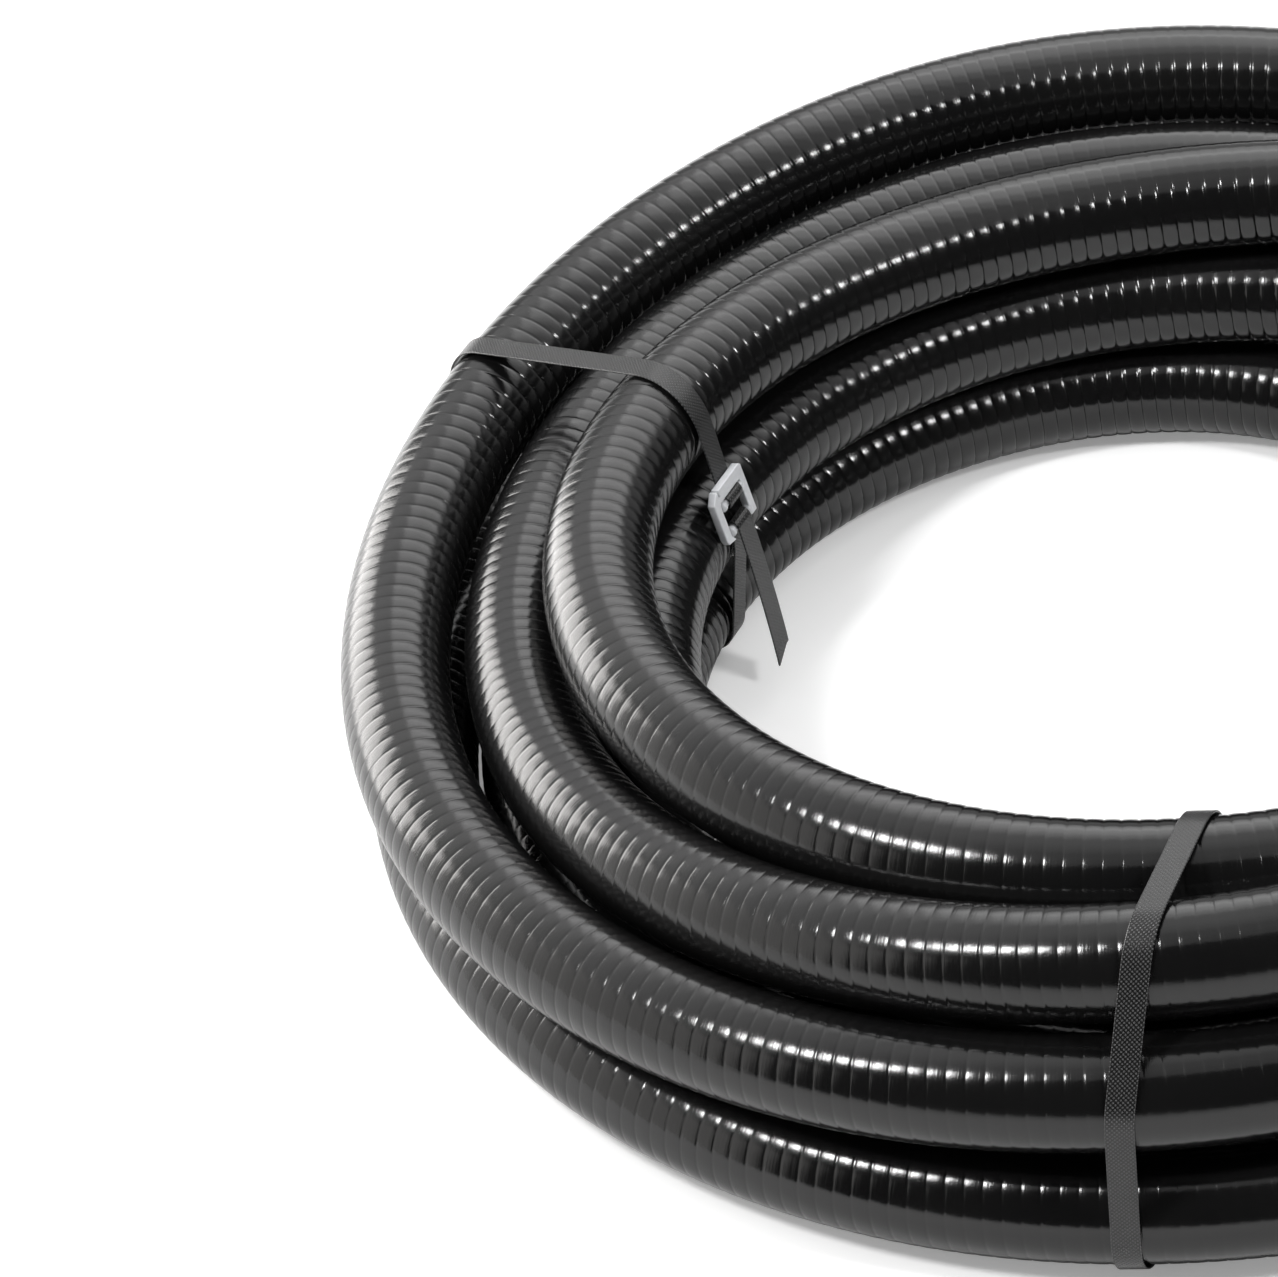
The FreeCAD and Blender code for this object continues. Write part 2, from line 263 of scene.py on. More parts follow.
class NodeTree:
    """A node tree that is written from Python."""

    def __init__(self, tree):
        self.tree = tree

    def add(self, kind, settings=None, sockets=None, output=0):
        """Adds a node of a type, with its settings and sockets, and gives one of its outputs."""
        node = self.tree.nodes.new(kind)
        for name, value in (settings or {}).items():
            setattr(node, name, value)
        for name, value in (sockets or {}).items():
            self.fill(node.inputs[name], value)
        return Term(self, node.outputs[output]) if node.outputs else None

    def fill(self, socket, value):
        """Links a term, or several, to a socket, or sets its value."""
        if isinstance(value, list):
            for term in value:
                self.tree.links.new(term.socket, socket)
        elif isinstance(value, Term):
            self.tree.links.new(value.socket, socket)
        else:
            socket.default_value = value

    def math(self, operation, *values):
        """A Math node."""
        return self.add("ShaderNodeMath", {"operation": operation}, dict(enumerate(values)))

    def vector(self, operation, *values, output=0):
        """A Vector Math node."""
        settings = {"operation": operation}
        return self.add("ShaderNodeVectorMath", settings, dict(enumerate(values)), output)

    def scaled(self, vector, factor):
        """A vector times a number."""
        settings = {"operation": "SCALE"}
        return self.add("ShaderNodeVectorMath", settings, {0: vector, "Scale": factor})

    def part(self, vector, axis):
        """One of a vector's three numbers."""
        return self.add("ShaderNodeSeparateXYZ", {}, {0: vector}, "XYZ".index(axis))

    def clipped(self, value, low=0.0, high=1.0):
        """A number kept between two others."""
        return self.add("ShaderNodeClamp", {}, {"Value": value, "Min": low, "Max": high})


# %% [markdown]
# The ribs
#
# The real hose is wound: a narrow strip of soft plastic is laid round a mandrel in a spiral,
# with a stiff rod inside it, and each turn of the strip is welded to the one before. That leaves
# some 1,570 gently crowned bands with a fine groove between them. On the inside of a bend the
# bands crowd together and their grooves deepen, and on the outside they are drawn flatter.
# The shape follows a rule, so Geometry Nodes make it: a grid is wrapped round the route, sheared
# by one rib for each time round, so that its rows follow the spiral groove. An array of rings
# would be simpler, but its grooves would close on themselves, and a winding never does.

# %% Sizes of the ribs
wall_radius = 0.0238
bore_radius = 0.0215
wished_pitch = 0.0078
rib_count = round(hose_length / wished_pitch)
rib_pitch = hose_length / rib_count
skin_sizes = {
    "Pitch": rib_pitch,
    "Outer Radius": hose_width / 2,
    "Wall Radius": wall_radius,
    "Crown": 0.00022,
    "Groove": 0.00018,
    "Crowding": 1.8,
    "Rows per Rib": 8,
    "Sides": 40,
    "Coil Axis": coil_axis,
}
print("%d ribs, %.2f mm apart" % (rib_count, rib_pitch * 1000))

# %% The tree's inputs
socket_kinds = {
    "Object": ["Route"],
    "Int": ["First Rib", "Ribs", "Rows per Rib", "Sides"],
    "Float": ["Pitch", "Outer Radius", "Wall Radius", "Crown", "Groove", "Crowding"],
    "Vector": ["Coil Axis"],
    "Material": ["Material"],
}
skin_group = bpy.data.node_groups.new("ribbed_skin", "GeometryNodeTree")
skin_group.interface.new_socket(
    name="Geometry", in_out="OUTPUT", socket_type="NodeSocketGeometry"
)
for kind, names in socket_kinds.items():
    for name in names:
        skin_group.interface.new_socket(name=name, in_out="INPUT", socket_type="NodeSocket" + kind)
skin = NodeTree(skin_group)


def wish(name):
    """One of the tree's inputs."""
    return skin.add("NodeGroupInput", {}, {}, name)


# %% Grids whose points know their place on the hose
# Three grids are joined: the wall of ribs, and the flat rim at each of its ends.


def sheared_grid(rows):
    """A flat grid, and each point's place in it: its row, and how far round the hose it is."""
    sockets = {"Size X": 1.0, "Size Y": 1.0, "Vertices X": rows, "Vertices Y": wish("Sides") + 1}
    mesh = skin.add("GeometryNodeMeshGrid", {}, sockets)
    place = skin.add("GeometryNodeInputPosition")
    row = ((skin.part(place, "X") + 0.5) * (rows - 1)).math("ROUND")
    return mesh, row, skin.part(place, "Y") + 0.5


def noted(geometry, **numbers):
    """The geometry with a number kept at each point under each name."""
    for name, value in numbers.items():
        settings = {"data_type": "FLOAT", "domain": "POINT"}
        sockets = {"Geometry": geometry, "Name": name, "Value": value}
        geometry = skin.add("GeometryNodeStoreNamedAttribute", settings, sockets)
    return geometry


starts_at = wish("First Rib") * wish("Pitch")
ends_at = starts_at + wish("Ribs") * wish("Pitch")
wall_grid, row, round_share = sheared_grid((wish("Ribs") + 1) * wish("Rows per Rib") + 1)
whole_ribs = row / wish("Rows per Rib")
rib_share = whole_ribs.math("FRACT")
# The rows are moved towards the grooves, which need the most of them, by this share of a rib
row_shift = 0.08
crowded = whole_ribs - row_shift * (rib_share * (2 * math.pi)).math("SINE")
along = starts_at + (crowded + round_share - 1) * wish("Pitch")
along = skin.clipped(along, starts_at, ends_at)
wall_grid = noted(wall_grid, along=along, around=round_share, sunk=0.0)
wall_grid = skin.add("GeometryNodeFlipFaces", {}, {"Mesh": wall_grid})

start_rim, rim_row, round_share = sheared_grid(2)
start_rim = noted(start_rim, along=starts_at, around=round_share, sunk=rim_row)
end_rim, rim_row, round_share = sheared_grid(2)
end_rim = noted(end_rim, along=ends_at, around=round_share, sunk=1 - rim_row)

# %% The rib's shape and its place on the route
joined = skin.add("GeometryNodeJoinGeometry", {}, {"Geometry": [wall_grid, start_rim, end_rim]})


def note(name):
    """The number kept under a name."""
    return skin.add("GeometryNodeInputNamedAttribute", {"data_type": "FLOAT"}, {"Name": name})


route_shape = skin.add("GeometryNodeObjectInfo", {}, {"Object": wish("Route")}, "Geometry")
sample_settings = {"mode": "LENGTH"}
sample_sockets = {"Curves": route_shape, "Length": note("along")}
middle = skin.add("GeometryNodeSampleCurve", sample_settings, sample_sockets, "Position")
onward = middle.other("Tangent")
sideways = middle.other("Normal")
upwards = skin.vector("CROSS_PRODUCT", onward, sideways)
turning = note("around") * (2 * math.pi)
outward = skin.vector(
    "ADD",
    skin.scaled(sideways, turning.math("COSINE")),
    skin.scaled(upwards, turning.math("SINE")),
)
from_axis = skin.vector("NORMALIZE", skin.vector("SUBTRACT", middle, wish("Coil Axis")))
inner_side = skin.vector("DOT_PRODUCT", from_axis, outward, output="Value") * -1
phase = (note("along") / wish("Pitch") - note("around")).math("FRACT")
from_crown = (phase * 2 - 1).math("ABSOLUTE")
# The groove takes the last fifth of the way from a rib's crown to its edge
groove_width = 0.2
groove_share = skin.clipped((from_crown - (1 - groove_width)) / groove_width) ** 2
depth = wish("Crown") * from_crown**2 + wish("Groove") * groove_share
surface = wish("Outer Radius") - depth * wish("Crowding") ** inner_side
radius = surface + note("sunk") * (wish("Wall Radius") - surface)

# %% Wrap, close the seam and give the skin its surface coordinates
unrolled = skin.add(
    "ShaderNodeCombineXYZ",
    {},
    {"X": note("around") * wish("Outer Radius") * (2 * math.pi), "Y": note("along")},
)
mapped = skin.add(
    "GeometryNodeStoreNamedAttribute",
    {"data_type": "FLOAT2", "domain": "CORNER"},
    {"Geometry": joined, "Name": "UVMap", "Value": unrolled},
)
wrapped = skin.add(
    "GeometryNodeSetPosition",
    {},
    {"Geometry": mapped, "Position": skin.vector("ADD", middle, skin.scaled(outward, radius))},
)
seam_gap = 0.00002
closed = skin.add("GeometryNodeMergeByDistance", {}, {"Geometry": wrapped, "Distance": seam_gap})
smooth = skin.add("GeometryNodeSetShadeSmooth", {}, {"Geometry": closed})
real = skin.add("GeometryNodeRealizeInstances", {}, {"Geometry": smooth})
finished = skin.add(
    "GeometryNodeSetMaterial", {}, {"Geometry": real, "Material": wish("Material")}
)
skin.add("NodeGroupOutput", {}, {"Geometry": finished})
print("the rib tree has %d nodes" % len(skin_group.nodes))

# %% [markdown]
# What the hose is made of
#
# The hose is soft black PVC with a wet-looking gloss. Its strip was squeezed through a die before
# it was wound, which leaves faint streaks round the hose, and handling leaves soft dull patches.
# A flat black would look like ink. Here the base is nearly black, the roughness changes slowly
# over the surface, and a shallow bump carries the streaks and a fine orange peel.


# %% A new material
def new_shader(name):
    """An empty material, and its node tree."""
    material = bpy.data.materials.new(name)
    material.use_nodes = True
    material.node_tree.nodes.clear()
    return material, NodeTree(material.node_tree)


def surface_of(tree, shader):
    """Makes a shader the material's surface."""
    tree.add("ShaderNodeOutputMaterial", {}, {"Surface": shader})


def noise(tree, place, scale, detail=3.0):
    """Smooth noise over a place, as a number near 0.5."""
    sockets = {"Vector": place, "Scale": scale, "Detail": detail}
    return tree.add("ShaderNodeTexNoise", {"noise_dimensions": "3D"}, sockets)


def stretched(tree, place, scale):
    """A place with each of its numbers scaled."""
    sockets = {"Vector": place, "Scale": scale}
    return tree.add("ShaderNodeMapping", {"vector_type": "POINT"}, sockets)


def bumped(tree, height, strength, distance):
    """A normal that leans as a relief of this height would make it lean."""
    sockets = {"Height": height, "Strength": strength, "Distance": distance}
    return tree.add("ShaderNodeBump", {}, sockets)


def blend(tree, share, first, second):
    """A colour between two others."""
    sockets = {"Factor": share, "A": (*first, 1), "B": (*second, 1)}
    return tree.add("ShaderNodeMix", {"data_type": "RGBA"}, sockets, "Result")


# %% Black glossy PVC
def make_hose_material():
    """Nearly black, with soft dull patches, streaks round the hose and a fine orange peel."""
    material, tree = new_shader("glossy_black_pvc")
    place = tree.add("ShaderNodeTexCoord", {}, {}, "Object")
    wrapped_place = tree.add("ShaderNodeTexCoord", {}, {}, "UV")
    patches = noise(tree, place, 14.0)
    streaks = noise(tree, stretched(tree, wrapped_place, (18.0, 2600.0, 1.0)), 1.0, 2.0)
    peel = noise(tree, place, 900.0, 2.0)
    bump = bumped(tree, 0.6 * streaks + 0.25 * peel, strength=0.6, distance=0.00014)
    mean_roughness = 0.15
    roughness = mean_roughness + 0.10 * (patches - 0.5) + 0.05 * (streaks - 0.5)
    tone = blend(tree, patches, (0.003, 0.003, 0.0033), (0.007, 0.0069, 0.0067))
    sockets = {"Roughness": roughness, "Normal": bump, "Base Color": tone}
    surface_of(tree, tree.add("ShaderNodeBsdfPrincipled", {}, sockets))
    return material


hose_material = make_hose_material()

# %% [markdown]
# Wrapping the ribs
#
# One mesh for the whole hose would be far too heavy, so the tree runs once for about each turn of
# the coil. Each run wraps whole ribs, and the next one starts where it ends, so no seam shows.
# The result is read as a plain mesh, and the helper object with the modifier is thrown away.

# %% Make the ribbed skins
turns_of_skin = 7
sharpest_smooth_rib = 60
ribs_each = math.ceil(rib_count / turns_of_skin)
input_names = {item.name: item.identifier for item in skin_group.interface.items_tree}


def new_piece(name, mesh, material=None):
    """An object for a finished mesh, with its material."""
    if material:
        mesh.materials.clear()
        mesh.materials.append(material)
    return new_object(name, mesh)


def wrap_ribs(number):
    """One length of ribbed skin."""
    first = number * ribs_each
    helper = new_piece("rib_helper", bpy.data.meshes.new("rib_helper"))
    wrapping = helper.modifiers.new("ribs", "NODES")
    wrapping.node_group = skin_group
    count = min(ribs_each, rib_count - first)
    wishes = {"Route": route, "First Rib": first, "Ribs": count, "Material": hose_material}
    for name, value in (skin_sizes | wishes).items():
        wrapping[input_names[name]] = value
    helper.update_tag()
    evaluated = helper.evaluated_get(bpy.context.evaluated_depsgraph_get())
    mesh = bpy.data.meshes.new_from_object(evaluated)
    bpy.data.objects.remove(helper)
    for name in ("along", "around", "sunk"):
        mesh.attributes.remove(mesh.attributes[name])
    mesh.set_sharp_from_angle(angle=math.radians(sharpest_smooth_rib))
    mesh.calc_loop_triangles()
    triangles = len(mesh.loop_triangles)
    print("ribs %d to %d: %d triangles" % (first, first + count, triangles))
    return new_piece("ribbed_skin_%d" % (number + 1), mesh)


skins = [wrap_ribs(number) for number in range(turns_of_skin)]

# %% [markdown]
# The hose's wall and bore
#
# Under the ribs the hose is a plain tube that is open from end to end, and its two ends are cut
# off square, with nothing fitted to them. The wall is one mesh tube that follows the route's own
# line, so it runs the hose's whole length: twelve metres, fifty millimetres thick.


# %% Sweep the wall along the route
def line_frames(line):
    """For each point of a line: its direction, level outwards, and up."""
    ahead = np.gradient(line, axis=0)
    ahead /= np.linalg.norm(ahead, axis=1)[:, None]
    level = np.cross(ahead, (0.0, 0.0, 1.0))
    level /= np.linalg.norm(level, axis=1)[:, None]
    return ahead, level, np.cross(level, ahead)


def ring_points(line, radius, sides):
    """Rings of points round a line."""
    ahead, level, up = line_frames(line)
    angles = np.linspace(0, 2 * math.pi, sides, endpoint=False)
    outwards = level[:, None] * np.cos(angles)[:, None] + up[:, None] * np.sin(angles)[:, None]
    return (line[:, None] + radius * outwards).reshape(-1, 3)


def sweep_wall(line, sides):
    """A tube with an outer and an inner surface, closed by a flat ring at each end."""
    rings = [ring_points(line, radius, sides) for radius in (wall_radius, bore_radius)]
    points = np.vstack(rings)
    inner = len(line) * sides
    faces = []
    for ring in range(len(line) - 1):
        for side in range(sides):
            a = ring * sides + side
            b = ring * sides + (side + 1) % sides
            faces.append((a, a + sides, b + sides, b))
            faces.append((inner + a, inner + b, inner + b + sides, inner + a + sides))
    last = inner - sides
    for side in range(sides):
        beside = (side + 1) % sides
        faces.append((side, beside, inner + beside, inner + side))
        faces.append((last + side, inner + last + side, inner + last + beside, last + beside))
    mesh = bpy.data.meshes.new("hose_wall")
    mesh.from_pydata(points.tolist(), [], faces)
    return mesh


def made_smooth(mesh, sharp_angle):
    """Smooth shading with the real edges kept, and faces turned outwards."""
    shape = bmesh.new()
    shape.from_mesh(mesh)
    bmesh.ops.recalc_face_normals(shape, faces=shape.faces)
    shape.to_mesh(mesh)
    shape.free()
    mesh.shade_smooth()
    mesh.set_sharp_from_angle(angle=math.radians(sharp_angle))
    return mesh


wall_sides = 28
sharpest_smooth_edge = 50
wall_mesh = made_smooth(sweep_wall(route_line, wall_sides), sharpest_smooth_edge)
hose_wall = new_piece("hose_wall", wall_mesh, hose_material)
print("the wall has %d faces" % len(hose_wall.data.polygons))

# %% [markdown]
# The straps
#
# Three bands of plastic strapping hold the coil. A tight band touches only the outermost turns
# and runs straight between them, so its path is found as one would find it with a string: cut the
# coil with an upright plane, take the outer turns in that section, and run round them. The plane
# of a real strap is never quite square to the hose, so it is turned a little, as in the
# photograph. The band's two ends fold over the buckle's prongs, and the spare end hangs down.

# %% Sizes of the straps
strap_width = 0.012
strap_thickness = 0.001
strap_reach = 0.305
prong_radius = 0.002
prong_spacing = 0.014
fold_clearance = 0.0004
buckle_share = 0.65
tail_radius = 0.2
tail_bend = 1.0
tail_ground_gap = 0.014
tail_sag = 0.0035
tip_cut = 0.006
folded_end = 0.0005
lean_start = 0.008
sharpest_smooth_fold = 40
# For each strap, in degrees: its direction from the coil's axis, and how far its plane is turned
strap_table = {"left": (148.0, 15.0), "front": (259.3, 14.5), "right": (24.0, 5.0)}


# %% Cut the coil with a strap's plane
class StrapPlane:
    """The upright plane that a strap lies in. Places in it are pairs: reach and height."""

    def __init__(self, azimuth, skew):
        angle = math.radians(azimuth)
        self.outward = Vector((math.cos(angle), math.sin(angle), 0))
        self.onward = Vector((-math.sin(angle), math.cos(angle), 0))
        self.slant = math.tan(math.radians(skew))
        self.width = strap_width / math.cos(math.radians(skew))

    def in_space(self, place):
        """The point in space of a place in the plane."""
        reach, height = place
        slip = -self.slant * (reach - strap_reach)
        return coil_axis + self.outward * reach + self.onward * slip + Vector((0, 0, height))

    def way(self, heading):
        """The direction in space of a heading in the plane."""
        return self.outward * heading[0] + Vector((0, 0, heading[1]))

    def crossings(self, line, along):
        """Where the hose's line passes the plane, moved along by a distance."""
        local = line - np.array(coil_axis)
        reach = local @ np.array(self.outward)
        offset = local @ np.array(self.onward) + self.slant * (reach - strap_reach) - along
        found = []
        for index in np.nonzero((offset[:-1] < 0) & (offset[1:] >= 0) & (reach[1:] > 0))[0]:
            share = -offset[index] / (offset[index + 1] - offset[index])
            place = local[index] + share * (local[index + 1] - local[index])
            found.append((float(place @ np.array(self.outward)), float(place[2])))
        return found

    def centres(self, line):
        """The outer turns over the strap's whole width, as the tight band finds them."""
        spread = (self.width + self.slant * hose_width) / 2
        cuts = [self.crossings(line, along) for along in (-spread, 0.0, spread)]
        return outer_centres(sum(cuts, []))


def outer_centres(centres):
    """The centres that a tight band round them all touches, anticlockwise."""
    halves = []
    for run in (sorted(centres), sorted(centres)[::-1]):
        half = []
        for place in run:
            while len(half) > 1 and not turns_left(half[-2], half[-1], place):
                half.pop()
            half.append(place)
        halves.append(half[:-1])
    return halves[0] + halves[1]


def turns_left(a, b, c):
    """Whether the way from a through b to c bends to the left."""
    return (b[0] - a[0]) * (c[1] - b[1]) - (b[1] - a[1]) * (c[0] - b[0]) > 0


# %% Headings in a strap's plane
def moved(place, heading, distance):
    """A place moved along a heading."""
    return (place[0] + heading[0] * distance, place[1] + heading[1] * distance)


def turned(heading, angle):
    """A heading turned anticlockwise."""
    cosine, sine = math.cos(angle), math.sin(angle)
    return (heading[0] * cosine - heading[1] * sine, heading[0] * sine + heading[1] * cosine)


def right_of(heading):
    """The heading a quarter of a turn to the right."""
    return (heading[1], -heading[0])


def towards(start, end):
    """Heading from one place to another, and the distance."""
    distance = math.dist(start, end)
    return ((end[0] - start[0]) / distance, (end[1] - start[1]) / distance), distance


def tangent_heading(first, second):
    """Heading of a band that leaves one round and meets the next.

    A round is a centre, a radius and a turn, which is 1 for anticlockwise and -1 for clockwise.
    """
    heading, distance = towards(first[0], second[0])
    lean = math.asin((first[2] * first[1] - second[2] * second[1]) / distance)
    return turned(heading, lean)


# %% The path of a band round the coil and its buckle
wrap_clearance = 0.0009
wrap_radius = hose_width / 2 + strap_thickness / 2 + wrap_clearance
fold_radius = prong_radius + fold_clearance + strap_thickness / 2
points_down_tail = 14
widest_step = math.radians(7)


def buckle_seat(centres):
    """Where the band passes the buckle's height on its inner side, and its heading there.

    Gives also the centres in the order in which the band reaches them from there.
    """
    heights = [centre[1] for centre in centres]
    level = min(heights) + buckle_share * (max(heights) - min(heights))
    for index, centre in enumerate(centres):
        after = centres[(index + 1) % len(centres)]
        heading = towards(centre, after)[0]
        heading_in = towards(centres[index - 1], centre)[0]
        entry = moved(centre, right_of(heading_in), wrap_radius)
        leave = moved(centre, right_of(heading), wrap_radius)
        arrival = moved(after, right_of(heading), wrap_radius)
        if heading_in[1] < 0 and entry[1] > level >= leave[1]:
            across = (centre[1] - level) / wrap_radius
            down = (across, -math.sqrt(1 - across * across))
            return moved(centre, right_of(down), wrap_radius), down, rolled(centres, index + 1, 0)
        if heading[1] < 0 and leave[1] > level >= arrival[1]:
            share = (leave[1] - level) / (leave[1] - arrival[1])
            seat = moved(leave, heading, share * towards(leave, arrival)[1])
            return seat, heading, rolled(centres, index + 1, 1)
    raise ValueError("the band has no inner side")


def rolled(centres, start, more):
    """The centres from one of them round to the one before it."""
    return centres[start:] + centres[: start - 1 + more]


def band_path(rounds, headings, lead, end_length):
    """Places along the middle of a band, and its heading at each of them."""
    path = []
    centre, radius, turn = rounds[0]
    start = moved(centre, right_of(headings[0]), turn * radius)
    first = moved(start, headings[0], -lead)
    for step in range(points_down_tail):
        share = step / points_down_tail
        path.append((moved(first, headings[0], share * math.dist(first, start)), headings[0]))
    for index, (centre, radius, turn) in enumerate(rounds):
        before, after = headings[index], headings[index + 1]
        angle = math.atan2(after[1], after[0]) - math.atan2(before[1], before[0])
        angle = turn * ((turn * angle) % (2 * math.pi))
        steps = max(2, math.ceil(abs(angle) / widest_step))
        for step in range(steps + 1):
            heading = turned(before, angle * step / steps)
            path.append((moved(centre, right_of(heading), turn * radius), heading))
    path.append((moved(path[-1][0], headings[-1], end_length), headings[-1]))
    return path


def strap_path(plane, centres):
    """The band's whole path, from its hanging tip to its folded end, and its buckle's seat."""
    seat, down, wrapped = buckle_seat(centres)
    out, up = right_of(down), (-down[0], -down[1])
    middle = moved(seat, out, fold_radius)
    upper = (moved(middle, up, prong_spacing / 2), fold_radius, -1)
    lower = (moved(middle, down, prong_spacing / 2), fold_radius, -1)
    tail = (moved(moved(lower[0], out, fold_radius), out, tail_radius), tail_radius, 1)
    rounds = [lower] + [(centre, wrap_radius, 1) for centre in wrapped] + [upper]
    headings = [tangent_heading(*pair) for pair in zip(rounds, rounds[1:])]
    tail_up = turned(up, -math.radians(tail_bend))
    tail_foot = moved(tail[0], right_of(tail_up), tail_radius)
    lead = (tail_foot[1] - tail_ground_gap) / tail_up[1]
    headings = [tail_up, up] + headings + [turned(down, math.pi / 2)]
    return band_path([tail] + rounds, headings, lead, folded_end), (middle, up, out)


strap_planes = {name: StrapPlane(*where) for name, where in strap_table.items()}
strap_paths = {}
for name, plane in strap_planes.items():
    strap_paths[name] = strap_path(plane, plane.centres(route_line))
    print("strap_%s: %d places along its path" % (name, len(strap_paths[name][0])))

# %% [markdown]
# What the straps are made of
#
# Strapping is rolled from polypropylene, and the rollers press a fine diamond pattern into it so
# that it grips. It is dark grey and satin, not glossy. The pattern follows the band round the
# coil, so it reads the band's own surface coordinates, in metres across and along. Real grooves
# would need a great many faces for marks a tenth of a millimetre deep, so a bump carries them.


# %% Embossed dark strapping
def make_strap_material():
    """Dark grey, with raised diamonds lighter than the grooves, whose colour is darkened by
    painted shade.
    """
    material, tree = new_shader("embossed_strapping")
    place = tree.add("ShaderNodeTexCoord", {}, {}, "UV")
    across, along = tree.part(place, "X"), tree.part(place, "Y")
    diamond = 0.0020
    rising = ((across + along) / diamond).math("PINGPONG", 0.5) * 2
    falling = ((across - along) / diamond).math("PINGPONG", 0.5) * 2
    raised = tree.clipped((rising * falling - 0.25) * 4)
    fibre = noise(tree, stretched(tree, place, (3000.0, 60.0, 1.0)), 1.0, 2.0)
    bump = bumped(tree, raised + 0.15 * fibre, strength=1.0, distance=0.0004)
    # Painted shade: the grooves between the diamonds are coloured near black and the raised
    # diamonds grey
    tone = blend(tree, raised, (0.006, 0.006, 0.006), (0.085, 0.085, 0.086))
    sockets = {"Base Color": tone, "Roughness": 0.30 - 0.08 * raised, "Normal": bump}
    surface_of(tree, tree.add("ShaderNodeBsdfPrincipled", {}, sockets))
    return material


strap_material = make_strap_material()

# %% Make a band along a path
# The band's section is a thin bar with its edges cut off. Each corner has its side, its place out
# of the band's middle, and its way in from the edge.
edge = strap_thickness * 0.3
half = strap_thickness / 2
section_shape = [(-1, half - edge, 0), (-1, half, edge), (1, half, edge), (1, half - edge, 0)]
section_shape += [(1, edge - half, 0), (1, -half, edge), (-1, -half, edge), (-1, edge - half, 0)]


def make_band(name, plane, path, tail_length):
    """A strap as one mesh with rounded edges, its own surface coordinates and a cut tip."""
    section = [(side * (plane.width / 2 - inset), out) for side, out, inset in section_shape]
    points, run_length, before = [], [], None
    length = 0.0
    for place, heading in path:
        length += math.dist(place, before) if before else 0.0
        before = place
        run_length.append(length)
        # The hanging end leans towards plumb, more and more from the prong to its tip
        hanging = min(1.0, max(0.0, (tail_length - length) / tail_length))
        sag = tail_sag * hanging * hanging
        ahead, face = plane.way(heading), plane.way(right_of(heading))
        middle = plane.in_space(place) + plane.outward * sag
        cut = max(0.0, tip_cut - length)
        for across, out in section:
            slide = cut * (0.5 - across / plane.width)
            points.append(middle + plane.onward * across + face * out + ahead * slide)
    return band_mesh(name, points, section, run_length)


def band_mesh(name, points, section, run_length):
    """Faces and surface coordinates for a band's points."""
    count = len(section)
    faces = []
    for ring in range(len(run_length) - 1):
        for corner in range(count):
            a = ring * count + corner
            b = ring * count + (corner + 1) % count
            faces.append((a, b, b + count, a + count))
    faces.append(tuple(range(count))[::-1])
    faces.append(tuple(range(len(points) - count, len(points))))
    mesh = bpy.data.meshes.new(name)
    mesh.from_pydata(points, [], faces)
    layer = mesh.uv_layers.new(name="UVMap")
    for corner in mesh.loops:
        ring, place = divmod(corner.vertex_index, count)
        layer.data[corner.index].uv = (section[place][0], run_length[ring])
    return made_smooth(mesh, sharpest_smooth_fold)


straps = {}
for name, plane in strap_planes.items():
    path, seat = strap_paths[name]
    # The hanging end reaches from the tip to just under the lower prong
    lean_height = seat[0][1] - lean_start
    tail_end = next(index for index, step in enumerate(path) if step[0][1] > lean_height)
    tail_length = sum(math.dist(path[i][0], path[i + 1][0]) for i in range(tail_end))
    mesh = make_band("band_" + name, plane, path, tail_length)
    straps[name] = new_piece("band_" + name, mesh, strap_material)
    print("band_%s hangs %.0f mm below its buckle" % (name, tail_length * 1000))

# %% [markdown]
# The buckles
#
# Each buckle is one small moulding of milky polypropylene: a frame with two prongs that the
# folded band slips over, and a round knob on each prong so that it stays there. The parts of a
# moulding flow into one another, so its bars are laid out as simple solids that overlap, and a
# voxel remesh melts them into one skin. Drawing that skin by hand would take much longer, and
# solids left overlapping would show their walls through the milky plastic.

# %% Sizes of a buckle
side_clearance = 0.0016
knob_length = 0.0036
knob_radius = 0.0026
knob_opening = 0.001
buckle_room = strap_width + 2 * side_clearance
closed_inner = -buckle_room / 2
knob_end = buckle_room / 2 + knob_length
open_inner = knob_end + knob_opening
rail_width = 0.0048
crossbar_width = 0.0064
bar_bottom = prong_spacing / 2 + prong_radius + 2 * fold_clearance + strap_thickness
bar_top = bar_bottom + crossbar_width
foot_overhang = 0.0026
rail_foot = -prong_spacing / 2 - foot_overhang
plate_half = 0.002
root_radius = 0.0027
voxel_size = 0.0003
no_sharp_edges = 180


# %% Lay out the bars
def add_plate(shape, corners, thick):
    """A flat plate with an outline, centred on the buckle's middle plane."""
    low = [shape.verts.new((x, y, -thick)) for x, y in corners]
    high = [shape.verts.new((x, y, thick)) for x, y in corners]
    shape.faces.new(low[::-1])
    shape.faces.new(high)
    for index in range(len(corners)):
        after = (index + 1) % len(corners)
        shape.faces.new((low[index], low[after], high[after], high[index]))


def add_round(shape, start, end, level, radius, sides=20):
    """A round bar along the prong's direction, with domed ends."""
    dome, cap = radius * 0.45, 0.55
    rings = [(start - dome, cap), (start, 1.0), (end, 1.0), (end + dome, cap)]
    angles = [2 * math.pi * side / sides for side in range(sides)]
    loops = []
    for place, share in rings:
        reach = radius * share
        ring = [(place, level + reach * math.cos(a), reach * math.sin(a)) for a in angles]
        loops.append([shape.verts.new(point) for point in ring])
    for first, second in zip(loops, loops[1:]):
        for side in range(sides):
            after = (side + 1) % sides
            shape.faces.new((first[side], first[after], second[after], second[side]))
    shape.faces.new(loops[0])
    shape.faces.new(loops[-1][::-1])


